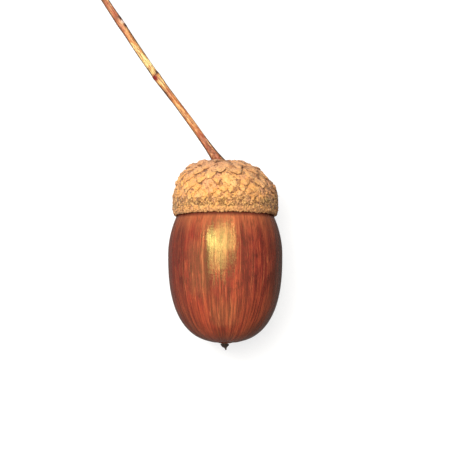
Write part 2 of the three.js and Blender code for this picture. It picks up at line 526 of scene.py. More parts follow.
@dataclass(frozen=True)
class ShellFinish:
    """The nut's waxy shell: red-brown, with thin streaks that run from pole to pole, paler beside the cap."""

    dark: Colour = (0.080, 0.014, 0.013)
    red: Colour = (0.185, 0.025, 0.021)
    warm: Colour = (0.305, 0.040, 0.026)
    light: Colour = (0.56, 0.112, 0.044)
    plum: Colour = (0.135, 0.018, 0.017)
    shoulder: Colour = (0.60, 0.18, 0.070)
    scar: Colour = (0.50, 0.31, 0.18)
    wax_tint: Colour = (1.0, 0.86, 0.25)
    broad: Grain = Grain((2.1, 2.1, 0.3), 2)
    band: Grain = Grain((9, 9, 0.55))
    streak: Grain = Grain((32, 32, 1.1), 4, 0.7)
    hair: Grain = Grain((95, 95, 5), 2, 0.6)
    mottle: Grain = Grain((14, 14, 7), 4, 0.7)
    vein: Grain = Grain((13, 13, 0.5), 1)
    blotch: Grain = Grain((6, 6, 1.5))
    weave: Grain = Grain((9, 9, 28), 2)

    def material(self) -> bpy.types.Material:
        """Lays the shell's colours over each other, and breaks up its gloss.

        Noise that is stretched along the axis gives the streaks. Over them lie the pale shoulder under the
        cap, pale veins, dark mottles, plum blotches towards the tip, dark hairlines and a paler low part,
        then painted shade on the flanks away from the key light, a painted shadow line under the rim and the
        frayed scar round the style. Streaks, hairlines and mottles share out the gloss, and a fine weave
        across the axis roughens it.

        Returns:
            The material.
        """
        bench = Bench("waxy_nut_shell")
        grain, along, from_tip = bench.vector("grain"), bench.number("along"), bench.number("from_tip")
        broad, band, streak, hair = (
            bench.noise(grain, kind) for kind in (self.broad, self.band, self.streak, self.hair)
        )
        mottle, vein, blotch, weave = (
            bench.noise(grain, kind) for kind in (self.mottle, self.vein, self.blotch, self.weave)
        )
        tone = bench.mixed((broad, 1.0), (band, 1.0), (streak, 0.8), (hair, 0.45), (mottle, 0.8))
        stops = [(0.40, self.dark), (0.48, self.red), (0.545, self.warm), (0.63, self.light)]
        colour = bench.ramp(tone, stops)

        ragged = bench.plus(along, bench.times(band, 6.0))
        colour = bench.coat(colour, self.shoulder, ragged, start=4.5, full=9.5, share=0.6)
        colour = bench.coat(colour, self.light, streak, start=0.54, full=0.63, share=0.45)
        off_vein = bench.unsigned(bench.minus(vein, 0.5))
        colour = bench.coat(colour, self.shoulder, off_vein, start=0.018, full=0.005, share=0.5)
        colour = bench.coat(colour, self.dark, mottle, start=0.45, full=0.36, share=0.4)
        blotches = bench.times(bench.span(blotch, 0.50, 0.58, (0, 0.7)), bench.span(along, 3.0, -3.0))
        colour = bench.lay(blotches, colour, self.plum)
        colour = bench.coat(colour, self.dark, hair, start=0.49, full=0.38, share=0.5)
        low_part = bench.times(bench.span(along, -3.5, -9.0), bench.span(streak, 0.44, 0.58, (0.06, 0.46)))
        colour = bench.lay(low_part, colour, self.light)
        # painted shade: the nut darkens towards the flanks and the underside, away from the key light
        colour = bench.lay(bench.number("shade"), colour, self.dark)
        # painted shadow: a dark line on the nut just under the cap's rim
        colour = bench.coat(colour, self.dark, along, start=5.35, full=5.85, share=0.75)
        frayed = bench.plus(from_tip, bench.times(band, 1.6))
        colour = bench.coat(colour, self.scar, frayed, start=2.0, full=1.4, share=0.8)
        bench.wire(colour, "Base Color")

        gloss = bench.mixed((streak, 1.0), (hair, 1.0), (mottle, 1.0))
        bench.wire(bench.span(gloss, 0.42, 0.58, (0.29, 0.15)), "Roughness")
        bench.fix(Specular_IOR_Level=0.85, Specular_Tint=self.wax_tint, IOR=1.5)
        lines = bench.relief(bench.mixed((band, 1.0), (mottle, 0.6)), 0.05)
        bench.wire(bench.relief(bench.mixed((hair, 1.0), (weave, 1.2)), 0.024, under=lines), "Normal")
        return bench.material


@dataclass
class Nut:
    """The nut: a blunt barrel, with faint flutes from pole to pole and a raised ring round the style."""

    seat: Seat
    radius: float = 9.0
    tip_length: float = 14.0
    base_length: float = 12.3
    tip_fullness: float = 2.55
    base_fullness: float = 1.86
    columns: int = 288
    rows: int = 150
    pole_gap: float = 0.012
    flutes: tuple[tuple[int, float], ...] = (
        (2, 1.2),
        (3, 1.0),
        (5, 0.8),
        (9, 0.5),
        (14, 0.5),
        (23, 0.45),
        (37, 0.3),
    )
    flute_depth: float = 0.022
    ring_radius: float = 0.72
    ring_width: float = 0.28
    ring_height: float = 0.16
    pleats: int = 11
    pleat_radius: float = 1.7
    pleat_width: float = 0.7
    pleat_depth: float = 0.05
    # the side that faces the key light; the painted shade grows with the angle from it
    lit_side: float = math.radians(-95)
    shade: float = 0.45
    finish: ShellFinish = ShellFinish()

    def outline(self, angle: Array) -> tuple[Array, Array]:
        """A superellipse, (r / radius)^n + (y / height)^n = 1, fuller towards the tip than towards the base.

        Args:
            angle: from minus a quarter turn at the tip's pole to plus a quarter turn at the base's pole.

        Returns:
            The radius and the height along the axis.
        """
        fullness = np.where(angle < 0, self.tip_fullness, self.base_fullness)
        height = np.where(angle < 0, self.tip_length, self.base_length)
        radius = self.radius * np.cos(angle) ** (2 / fullness)
        along = np.sign(angle) * height * np.abs(np.sin(angle)) ** (2 / fullness)
        return radius, along

    def points(self) -> tuple[Array, Array, Array]:
        """Turns the outline round, and adds flutes, pleats and a ring at the tip.

        The flutes' depth is a sum of cosines of the angle, each with its count round the nut and its weight.
        It fades out towards the poles. The pleats are a wavering cosine of the angle round the ring.

        Returns:
            The points, about the acorn's own axis, of shape (rows, columns, 3), and their angles and radii.
        """
        quarter = math.pi / 2 - self.pole_gap
        side = np.linspace(-quarter, quarter, self.rows)[:, None]
        turn = np.linspace(0, TURN, self.columns, endpoint=False)[None]
        radius, along = self.outline(side)
        radius = radius + 0 * turn
        rng = np.random.default_rng(11)
        depth = sum(np.cos(count * turn + rng.uniform(0, TURN)) * weight for count, weight in self.flutes)
        radius = radius + self.flute_depth * depth * smooth_step(radius, 0.8, 5.0)
        at_tip = side < 0
        ring = self.ring_height * bump(radius, self.ring_radius, self.ring_width) * at_tip
        waver = np.cos(self.pleats * turn + 2 * np.sin(3 * turn))
        pleat = self.pleat_depth * bump(radius, self.pleat_radius, self.pleat_width) * waver * at_tip
        points = about_axis(radius, along - ring + pleat * smooth_step(radius, 0.9, 1.5), turn)
        return points, turn + 0 * radius, radius

    def build(self) -> bpy.types.Object:
        """Makes the nut, with its underside flat where it rests on the table.

        Returns:
            The piece.
        """
        points, turn, radius = self.points()
        grain = np.stack([np.cos(turn), np.sin(turn), points[..., 1] / self.radius], axis=-1)
        from_tip = np.where(points[..., 1] < 0, radius, self.radius)
        # painted shade: grows with the angle from the side that faces the key light
        off_lit_side = np.abs(turned_by(turn, self.lit_side)) + 0.12 * Unevenness(4.0, 12).at(points)
        shade = self.shade * smooth_step(off_lit_side, 0.5, 1.35)
        poles = np.array([[0, points[0, 0, 1] + 0.05, 0], [0, points[-1, 0, 1], 0]])
        placed, ends = self.seat.place(points), self.seat.place(poles)
        placed[..., 2] = np.maximum(placed[..., 2], 0)
        skin = Skin("acorn_nut")
        values = {"grain": grain, "along": points[..., 1], "from_tip": from_tip, "shade": shade}
        values = {name: value[None] for name, value in values.items()}
        skin.add(placed[None], ends[:1], ends[1:], values)
        made = skin.piece(self.finish.material())
        finish_piece(made, "nut")
        return made


@dataclass(frozen=True)
class StyleFinish:
    """The style's withered tissue: nearly black, with paler frayed fibres and a pale neck."""

    black: Colour = (0.012, 0.008, 0.006)
    brown: Colour = (0.075, 0.045, 0.03)
    neck: Colour = (0.62, 0.47, 0.34)
    fibre: Grain = Grain((5, 5, 1.5), 4)

    def material(self) -> bpy.types.Material:
        """Blends two browns by noise stretched along the style, and pales towards the neck.

        Returns:
            The material.
        """
        bench = Bench("withered_style")
        fibre = bench.noise(bench.vector("grain"), self.fibre)
        colour = bench.ramp(fibre, [(0.38, self.black), (0.62, self.brown)])
        colour = bench.coat(colour, self.neck, bench.number("down"), start=0.2, full=0.08, share=1)
        bench.wire(colour, "Base Color")
        bench.fix(Roughness=0.75)
        bench.wire(bench.relief(fibre, 0.06), "Normal")
        return bench.material


@dataclass
class StyleTip:
    """The remains of the flower's style: a narrow neck, then a torn cone of three lobes that leans over."""

    seat: Seat
    foot: float = -14.0
    length: float = 1.05
    radius: float = 0.68
    neck_radius: float = 0.36
    lean: float = 0.2
    shift: float = -0.12
    lobe_share: float = 0.17
    fold_share: float = 0.07
    fray: float = 0.12
    crumple: float = 0.018
    columns: int = 64
    rows: int = 40
    finish: StyleFinish = StyleFinish()

    def build(self) -> bpy.types.Object:
        """Sets the radius by the share of the way down from the foot, times three lobes and eleven folds.

        The neck ends where the cone opens, and the cone closes again towards its frayed point.

        Returns:
            The piece.
        """
        down = np.linspace(0, 1, self.rows)[:, None]
        turn = np.linspace(0, TURN, self.columns, endpoint=False)[None]
        neck = self.neck_radius * (1 - smooth_step(down, 0.1, 0.24))
        cone = self.radius * smooth_step(down, 0.08, 0.26) * (1 - 0.84 * smooth_step(down, 0.22, 1.0) ** 0.8)
        below_neck = smooth_step(down, 0.15, 0.4)
        lobes = 1 + self.lobe_share * smooth_step(down, 0.15, 0.6) * np.cos(3 * turn + 0.6 + 1.5 * down)
        folds = 1 + self.fold_share * np.cos(11 * turn + 4 * down) * below_neck
        radius = (neck + cone) * lobes * folds
        fray = self.fray * np.cos(2 * turn - 0.8) * smooth_step(down, 0.7, 1.0)
        points = about_axis(radius, self.foot - self.length * down + fray, turn)
        points[..., 0] += self.shift + self.lean * (down + 0 * turn) ** 2
        points += self.crumple * Unevenness(0.3, 5).at(points)[..., None] * below_neck[..., None]
        grain = np.stack([np.cos(turn) + 0 * down, np.sin(turn) + 0 * down, 2 * down + 0 * turn], axis=-1)
        in_the_nut, point = points[0].mean(0) + [0, 0.3, 0], points[-1].mean(0) - [0, 0.03, 0]
        ends = self.seat.place(np.stack([in_the_nut, point]))
        skin = Skin("acorn_style_tip")
        values = {"grain": grain[None], "down": (down + 0 * turn)[None]}
        skin.add(self.seat.place(points)[None], ends[:1], ends[1:], values)
        made = skin.piece(self.finish.material())
        finish_piece(made, "style_tip")
        return made


@dataclass(frozen=True)
class CapFinish:
    """The cap's felt: tan-gold, with dark fibres, brown painted shade in the gaps, and each scale of its own
    tone.
    """

    pale: Colour = (0.92, 0.54, 0.205)
    gold: Colour = (0.90, 0.395, 0.098)
    pink: Colour = (0.74, 0.34, 0.165)
    olive: Colour = (0.33, 0.165, 0.045)
    gap: Colour = (0.10, 0.033, 0.012)
    side_shade: Colour = (0.48, 0.175, 0.095)
    lip: Colour = (0.58, 0.26, 0.095)
    patch: Grain = Grain(230)
    mottle: Grain = Grain(1300, 4, 0.65)
    felt: Grain = Grain(4200, 4, 0.75)

    def material(self) -> bpy.types.Material:
        """Tones each scale, and lays the cap's other colours over them by height and by noise.

        Mottles and pink patches vary the tone. Over them lie an olive band above the rim, painted shade on
        the side away from the key light, the pink crest and the darker lip, which is partly painted shade,
        then the felt's light and dark fibres, dark speckles on the band and the shaded side, and brown
        painted shade in the gaps under the scales' edges.

        Returns:
            The material.
        """
        bench = Bench("felted_cap_scales")
        place, height, side_shade = bench.place(), bench.number("height"), bench.number("side_shade")
        patch, mottle, felt = (bench.noise(place, kind) for kind in (self.patch, self.mottle, self.felt))
        tone = bench.plus(bench.number("tone"), bench.minus(mottle, 0.5))
        colour = bench.ramp(tone, [(0.25, self.pink), (0.5, self.gold), (0.85, self.pale)])
        colour = bench.coat(colour, self.pink, patch, start=0.50, full=0.64, share=0.6)

        band = bench.times(bench.span(height, 9.0, 7.6), bench.span(height, 6.5, 7.1))
        rough_band = bench.times(band, bench.span(mottle, 0.46, 0.55, (0.25, 0.85)))
        colour = bench.lay(rough_band, colour, self.olive)
        # painted shade on the side away from the key light, broken into patches by the mottle
        side_shade_patches = bench.times(side_shade, bench.span(mottle, 0.46, 0.56, (0.3, 0.0)))
        colour = bench.lay(side_shade_patches, colour, self.side_shade)
        colour = bench.coat(colour, self.pink, height, start=11.4, full=13.6, share=0.8)
        # the darker lip by the rim, partly painted shade where the rim turns in to the nut
        colour = bench.coat(colour, self.lip, height, start=6.8, full=6.4, share=0.75)

        colour = bench.coat(colour, self.pale, felt, start=0.51, full=0.60, share=0.6)
        colour = bench.coat(colour, self.gap, felt, start=0.47, full=0.40, share=0.5)
        speckle = bench.times(bench.larger(side_shade, band), bench.span(felt, 0.50, 0.43, (0, 0.55)))
        colour = bench.lay(speckle, colour, self.gap)
        # painted shade: brown in the gaps under the scales' edges, broken up by the mottle
        crevice_shade = bench.times(bench.number("gap"), bench.span(mottle, 0.36, 0.5, (1, 0.6)))
        colour = bench.lay(crevice_shade, colour, self.gap)
        bench.wire(colour, "Base Color")

        bench.fix(Roughness=0.9, Specular_IOR_Level=0.25, Sheen_Weight=0.15, Sheen_Roughness=0.5)
        lumps = bench.relief(mottle, 0.22)
        bench.wire(bench.relief(felt, 0.16, under=lumps), "Normal")
        return bench.material


@dataclass(frozen=True)
class ScaleShape:
    """How finely a scale is drawn: points round its edge, and rings from its middle to under its edge.

    Each ring has its size, how far it is sunk, and how far the painted shade of the gaps lies on it, as
    shares.
    """

    columns: int
    rings: tuple[float, ...]
    sunk: tuple[float, ...]
    shaded: tuple[float, ...]


LARGE_SCALE = ScaleShape(
    columns=20,
    rings=(0.25, 0.5, 0.72, 0.9, 1.0, 0.96, 0.75),
    sunk=(0, 0, 0, 0, 0.02, 0.10, 0.2),
    shaded=(0, 0, 0, 0.05, 0.9, 1, 1),
)
SMALL_SCALE = ScaleShape(
    columns=10,
    rings=(0.5, 0.85, 1.0, 0.8),
    sunk=(0, 0, 0.03, 0.18),
    shaded=(0, 0.05, 0.75, 1),
)


@dataclass(frozen=True)
class Scales:
    """What sets one scale of the cap apart from the next: arrays with one number for each scale."""

    down: Array
    angle: Array
    cell: Array
    wide: Array
    long: Array
    lift: Array
    skew: Array
    wave: Array
    tone: Array

    def chosen(self, which: Array) -> "Scales":
        """Only the scales for which the given array is true."""
        return Scales(*(getattr(self, part.name)[which] for part in fields(self)))


@dataclass(frozen=True)
class Meridian:
    """A line on the cap's dome from the crest to the rim, measured by its own length."""

    radius: Array
    along: Array

    def lengths(self) -> Array:
        """The length of the line up to each of its points."""
        steps = np.hypot(np.diff(self.radius), np.diff(self.along))
        return np.concatenate([[0.0], np.cumsum(steps)])

    def at(self, length: Array) -> tuple[Array, Array, Array, Array]:
        """The radius, the height and the outward normal's two parts at a length along the line.

        Args:
            length: any array of lengths; beyond the line's ends it stays at the end.

        Returns:
            Four arrays of the same shape.
        """
        marks = self.lengths()
        slope_r, slope_y = np.gradient(self.radius, marks), np.gradient(self.along, marks)
        size = np.hypot(slope_r, slope_y)
        parts = (self.radius, self.along, -slope_y / size, slope_r / size)
        radius, along, out_r, out_y = (np.interp(length, marks, part) for part in parts)
        return radius, along, out_r, out_y


@dataclass
class Cap:
    """The cap: a shell round the nut's base, covered by scales that lie over each other like tiles.

    The scales follow the spiral of growth: each is a golden angle round from the last, and as far up the dome
    as the areas of those before it reach. They are large round the stalk and tiny at the rim, and their tips
    point to the rim. The crest has grown a little to one side.
    """

    seat: Seat
    nut: Nut
    clearance: float = 0.04
    radius: float = 8.22
    widest: float = 7.2
    rim: float = 6.06
    rim_tilt: float = 0.013
    dome: float = 7.5
    fullness: float = 2.25
    crest_radius: float = 2.0
    crest_shift: float = -0.6
    shift_heights: tuple[float, float] = (9.6, 14.4)
    tilt_heights: tuple[float, float] = (6.5, 9.5)
    # the side that takes painted shade; it faces away from the key light
    side_shade_angle: float = 0.0
    dimple_depth: float = 0.55
    lip_thickness: float = 0.32
    swell: float = 0.05
    lump: float = 0.06
    small_lump: float = 0.035
    fringe: float = 0.035
    fringe_count: int = 140
    reach: float = 9.0
    large_cell: float = 1.85
    small_cell: float = 0.66
    fine_from_cell: float = 1.2
    flattest_lift: float = 0.22
    columns: int = 240
    finish: CapFinish = CapFinish()

    def lip(self, steps: int) -> tuple[Array, Array]:
        """A quarter of an ellipse from the rim's edge out to the widest ring.

        Args:
            steps: how many points it has.

        Returns:
            The radius and the height along the axis.
        """
        angle = np.linspace(0, math.pi / 2, steps, endpoint=False)
        radius = self.radius - self.lip_thickness * (1 - np.sin(angle))
        return radius, self.widest - (self.widest - self.rim) * np.cos(angle)

    def dome_line(self, steps: int) -> tuple[Array, Array]:
        """A superellipse from the widest ring up to the crest round the dimple.

        Args:
            steps: how many points it has.

        Returns:
            The radius and the height along the axis.
        """
        crest = math.acos((self.crest_radius / self.radius) ** (self.fullness / 2))
        angle = np.linspace(0, crest, steps)
        radius = self.radius * np.cos(angle) ** (2 / self.fullness)
        return radius, self.widest + self.dome * np.sin(angle) ** (2 / self.fullness)

    def meridian(self) -> Meridian:
        """The dome and the lip as one line.

        Returns:
            The line from the crest to the rim.
        """
        dome, lip = self.dome_line(240), self.lip(60)
        radius = np.concatenate([dome[0][::-1], lip[0][::-1]])
        return Meridian(radius, np.concatenate([dome[1][::-1], lip[1][::-1]]))

    def laid(self, points: Array) -> Array:
        """Shifts the crest to its side, tilts the rim a little, and lays the points down on the table.

        Args:
            points: places about the acorn's own axis, of shape (..., 3).

        Returns:
            The same places in the table's frame, none of them under the table.
        """
        points = points.copy()
        points[..., 0] += self.crest_shift * smooth_step(points[..., 1], *self.shift_heights)
        full, level = self.tilt_heights
        points[..., 1] += self.rim_tilt * points[..., 2] * smooth_step(-points[..., 1], -level, -full)
        placed = self.seat.place(points)
        placed[..., 2] = np.maximum(placed[..., 2], 0)
        return placed

    def side_shade(self, points: Array) -> Array:
        """How far the felt takes painted shade: most on one side, away from the key light, and more towards
        the rim.

        Args:
            points: places about the acorn's own axis, of shape (..., 3).

        Returns:
            A share for each place.
        """
        angle = np.arctan2(-points[..., 2], points[..., 0])
        low = smooth_step(-points[..., 1], -13.5, -9.5)
        return bump(turned_by(angle, self.side_shade_angle), 0.0, 0.75) * (0.35 + 0.65 * low)

    def shell(self, skin: Skin) -> None:
        """Turns the bowl, the lip, the dome and the dimple round the axis as one closed wall.

        Outside, the wall swells towards the crest, and has lumps of two sizes and a fringed rim. Each height
        is a share of the wall's usual reach from the origin, by which its points are scaled.

        Args:
            skin: the mesh that takes the wall.
        """
        rim_angle = math.asin((self.rim / self.nut.base_length) ** (self.nut.base_fullness / 2))
        bowl_r, bowl_y = self.nut.outline(np.linspace(math.pi / 2 - 0.03, rim_angle, 50))
        lip, dome = self.lip(24), self.dome_line(120)
        crest = dome[1][-1]
        inside = np.linspace(1, 0, 12, endpoint=False)[1:]
        dimple_r = self.crest_radius * inside
        dimple_y = crest - self.dimple_depth * smooth_step(1 - inside, 0, 0.6)
        radius = np.concatenate([bowl_r + self.clearance, lip[0], dome[0], dimple_r])[:, None]
        along = np.concatenate([bowl_y + self.clearance, lip[1], dome[1], dimple_y])[:, None]
        turn = np.linspace(0, TURN, self.columns, endpoint=False)[None]
        points = about_axis(radius + 0 * turn, along, turn)
        outer = (np.arange(len(radius)) >= len(bowl_r) + 2)[:, None]
        swell = self.swell * smooth_step(points[..., 1], self.rim + 1.0, self.rim + 5.0)
        lumps = self.lump * Unevenness(1.3, 21).at(points) + self.small_lump * Unevenness(0.5, 22).at(points)
        frill = np.cos(self.fringe_count * turn + 3 * np.sin(7 * turn))
        fringe = self.fringe * frill * bump(along, self.rim, 0.4)
        points *= 1 + ((swell + lumps + fringe) * outer / self.reach)[..., None]
        # painted shade on the shell where it shows between the scales, above the rim
        gap = 0.8 * smooth_step(points[..., 1], self.rim + 0.4, self.rim + 1.2) * outer
        poles = np.array([[0, bowl_y[0] + self.clearance, 0], [0, crest - self.dimple_depth, 0]])
        poles = self.laid(poles)
        values = {"gap": gap, "tone": 0 * gap + 0.35, "height": points[..., 1], "side_shade": self.side_shade(points)}
        values = {name: value[None] for name, value in values.items()}
        skin.add(self.laid(points)[None], poles[:1], poles[1:], values)

    def growth(self, line: Meridian) -> Scales:
        """Shares out the scales along the meridian, so that each covers a square cell of the local size.

        Args:
            line: the meridian from the crest to the rim.

        Returns:
            The scales, each with its own chance differences in place, size, lift and tone.
        """
        lengths = line.lengths()
        share = lengths / lengths[-1]
        side = self.large_cell + (self.small_cell - self.large_cell) * smooth_step(share, 0.38, 0.92)
        density = TURN * line.radius / side**2
        shares = (density[1:] + density[:-1]) / 2 * np.diff(lengths)
        count = np.concatenate([[0.0], np.cumsum(shares)])
        number = np.arange(int(count[-1])) + 0.5
        down = np.interp(number, count, lengths)
        cell = np.interp(down, lengths, side)
        spread = np.random.default_rng(7).normal(size=(7, len(number)))
        return Scales(
            down=down + 0.08 * cell * spread[0],
            angle=number * GOLDEN_ANGLE + 0.08 * cell * spread[1] / self.radius,
            cell=cell,
            wide=0.72 * cell * (1 + 0.12 * spread[2]),
            long=0.98 * cell * (1 + 0.12 * spread[3]),
            lift=self.flattest_lift + 0.05 * np.clip(np.exp(0.7 * spread[4]), 0, 2.6),
            skew=0.15 * spread[5],
            wave=TURN * spread[5] * 7,
            tone=0.5 + 0.14 * spread[6],
        )

    def scales(self, skin: Skin, line: Meridian, grown: Scales, shape: ScaleShape) -> None:
        """Lays each scale on the dome: a rhombus with rounded, uneven corners and a raised tip.

        In a scale's own frame, a runs across and b runs to the tip. The edge is a = |cos|^p, b = |sin|^q,
        round the turn, and rings shrink it to the middle. Its height is the root's, plus the tip's lift times
        a power of b, plus a low crown that is highest on the keel. The rings under the edge give it a thick,
        undercut rim.

        Args:
            skin: the mesh that takes the scales.
            line: the meridian on which they lie.
            grown: the scales.
            shape: how finely they are drawn.
        """
        cell, wide, long = (part[:, None, None] for part in (grown.cell, grown.wide, grown.long))
        turn = np.linspace(0, TURN, shape.columns, endpoint=False)
        tipward = np.sin(turn) > 0
        across = np.sign(np.cos(turn)) * np.abs(np.cos(turn)) ** np.where(tipward, 1.6, 1.0)
        tip = np.sign(np.sin(turn)) * np.abs(np.sin(turn)) ** np.where(tipward, 1.3, 0.9)
        rings, sunk, shaded = (np.array(part)[:, None] for part in (shape.rings, shape.sunk, shape.shaded))
        wave = grown.wave[:, None]
        uneven = 1 + 0.08 * np.cos(3 * turn + wave) + 0.06 * np.cos(5 * turn - 2 * wave)
        a = rings * (across * uneven)[:, None]
        b = rings * (tip * uneven)[:, None]

        def on_dome(part_a: Array, part_b: Array, height: Array) -> Array:
            """Puts points of every scale's own frame on the dome.

            Args:
                part_a: how far they lie across, in half widths.
                part_b: how far they lie towards the tip, in half lengths.
                height: how far they are raised along the dome's normal, in millimetres.

            Returns:
                Places about the acorn's own axis.
            """
            sideways = part_a * wide + grown.skew[:, None, None] * part_b * long
            radius, along, out_r, out_y = line.at(grown.down[:, None, None] + part_b * long)
            swing = grown.angle[:, None, None] + sideways / np.maximum(radius, self.crest_radius)
            return about_axis(radius + out_r * height, along + out_y * height, swing)

        crown = 0.09 * (1 - rings**2) * (1.25 - np.abs(a))
        rise = grown.lift[:, None, None] * np.clip((b + 1) / 2, 0, 1) ** 1.5
        height = cell * (rise + crown - sunk - 0.07)
        points = on_dome(a, b, height)
        middle = np.zeros((1, 1, 1))
        top = on_dome(middle, middle, height[:, :1].mean(axis=2, keepdims=True) + 0.01 * cell)[:, 0, 0]
        deep = on_dome(middle, middle, -0.35 * cell - 0.12)[:, 0, 0]
        wear = 0.055 * Unevenness(1.0, 31).at(points) + 0.04 * Unevenness(0.42, 32).at(points)
        points = points * (1 + wear / self.reach)[..., None]

        # painted shade: dark under each scale's undercut edge, and towards its root where the scale before it
        # lies over it, scaled by how far the scale is lifted
        lifted = np.clip((grown.lift[:, None, None] - self.flattest_lift) * 8, 0.35, 1)
        at_edge = shaded * np.where(shaded < 1, lifted, 1)
        gap = np.maximum(at_edge, 0.5 * lifted * smooth_step(-b, 0.4, 0.9))
        values = {
            "gap": gap,
            "tone": np.broadcast_to(grown.tone[:, None, None] + 0.12 * b, points.shape[:3]),
            "height": points[..., 1],
            "side_shade": self.side_shade(points),
        }
        skin.add(self.laid(points), self.laid(top), self.laid(deep), values)

    def build(self) -> bpy.types.Object:
        """Makes the shell and its scales as one piece.

        Returns:
            The piece.
        """
        skin = Skin("acorn_cap")
        self.shell(skin)
        line = self.meridian()
        grown = self.growth(line)
        large = grown.cell > self.fine_from_cell
        self.scales(skin, line, grown.chosen(large), LARGE_SCALE)
        self.scales(skin, line, grown.chosen(~large), SMALL_SCALE)
        LOG.info("scales on the cap: %d large, %d small", large.sum(), (~large).sum())
        made = skin.piece(self.finish.material())
        finish_piece(made, "cap")
        return made


@dataclass(frozen=True)
class BarkFinish:
    """The stalk's bark: satin and ribbed, red-brown at the root, orange, then straw-yellow past a scar."""

    root: Colour = (0.40, 0.12, 0.055)
    russet: Colour = (0.50, 0.165, 0.075)
    orange: Colour = (0.70, 0.325, 0.11)
    gold: Colour = (0.90, 0.55, 0.20)
    straw: Colour = (0.97, 0.68, 0.26)
    pink: Colour = (0.60, 0.25, 0.115)
    brown: Colour = (0.30, 0.11, 0.05)
    furrow_and_shade: Colour = (0.07, 0.024, 0.010)
    dark_scar: Colour = (0.05, 0.015, 0.012)
    red_scar: Colour = (0.22, 0.008, 0.010)
    pale_scar: Colour = (0.93, 0.72, 0.60)
    fibre: Grain = Grain((1.9, 1.9, 0.6), 3, 0.6)
    thread: Grain = Grain((4.2, 4.2, 0.8), 2)
    patch: Grain = Grain((1.2, 1.2, 0.4))
    grit: Grain = Grain((2.6, 2.6, 3.2), 4, 0.7)

    def zones(self) -> list[tuple[float, Colour]]:
        """The bark's colours by distance from the root, in millimetres."""
        return [
            (0.0, self.root),
            (4.0, self.root),
            (6.5, self.russet),
            (8.5, self.orange),
            (14.2, self.orange),
            (15.5, self.pink),
            (16.6, self.gold),
            (19.0, self.gold),
            (19.8, self.straw),
            (24.8, self.straw),
            (26.4, self.orange),
            (29.5, self.pink),
            (30.6, self.russet),
            (36.0, self.russet),
            (41.0, self.brown),
        ]

    def material(self, length: float) -> bpy.types.Material:
        """Colours zones along the stalk, streaks them with stretched noise, and marks furrows and scars. It
        also lays painted shade on the flanks and in the cap's dimple, and pale specks near the root that are
        partly painted glints.

        Args:
            length: the stalk's whole length, in millimetres.

        Returns:
            The material.
        """
        bench = Bench("ribbed_stalk_bark")
        grain, along = bench.vector("grain"), bench.number("along")
        grains = (self.fibre, self.thread, self.patch, self.grit)
        fibre, thread, patch, grit = (bench.noise(grain, kind) for kind in grains)
        wander = bench.plus(along, bench.times(bench.minus(patch, 0.5), 3.0))
        stops = [(min(mark / length, 1.0), tint) for mark, tint in self.zones()]
        colour = bench.ramp(bench.over(wander, length), stops)
        colour = bench.coat(colour, self.russet, fibre, start=0.50, full=0.58, share=0.7, way=Way.DARKEN)
        colour = bench.coat(colour, self.straw, fibre, start=0.44, full=0.34, share=0.35, way=Way.LIGHTEN)
        colour = bench.coat(colour, self.brown, thread, start=0.515, full=0.575, share=0.85)
        near_root = bench.span(along, 7.5, 2.5)
        dark_grit = bench.times(near_root, bench.span(grit, 0.5, 0.6, (0, 0.75)))
        colour = bench.lay(dark_grit, colour, self.furrow_and_shade)
        # pale specks near the root, partly painted glints on the grainy bark
        pale_grit_and_glints = bench.times(near_root, bench.span(grit, 0.42, 0.34, (0, 0.6)))
        colour = bench.lay(pale_grit_and_glints, colour, self.gold)
        colour = bench.coat(colour, self.brown, grit, start=0.56, full=0.66, share=0.45)
        # the first of these holds the furrows together with painted shade on the flanks and in the dimple
        for name in ("furrow_and_shade", "red_scar", "dark_scar", "pale_scar"):
            colour = bench.lay(bench.number(name), colour, getattr(self, name))
        bench.wire(colour, "Base Color")
        bench.wire(bench.span(fibre, 0.35, 0.65, (0.42, 0.65)), "Roughness")
        bench.fix(Specular_IOR_Level=0.35)
        lines = bench.relief(bench.mixed((fibre, 1.0), (thread, 0.6)), 0.14)
        bench.wire(bench.relief(grit, 0.05, under=lines), "Normal")
        return bench.material


@dataclass(frozen=True)
class Mark:
    """A mark on the stalk: where it is round it and along it, and how far it spreads either way."""

    turn: float
    along: float
    width: float
    length: float

    def on(self, turn: Array, along: Array) -> Array:
        """1 at the mark's centre, and falling off as a bell round the stalk and along it."""
        return bump(turned_by(turn, self.turn), 0.0, self.width) * bump(along, self.along, self.length)


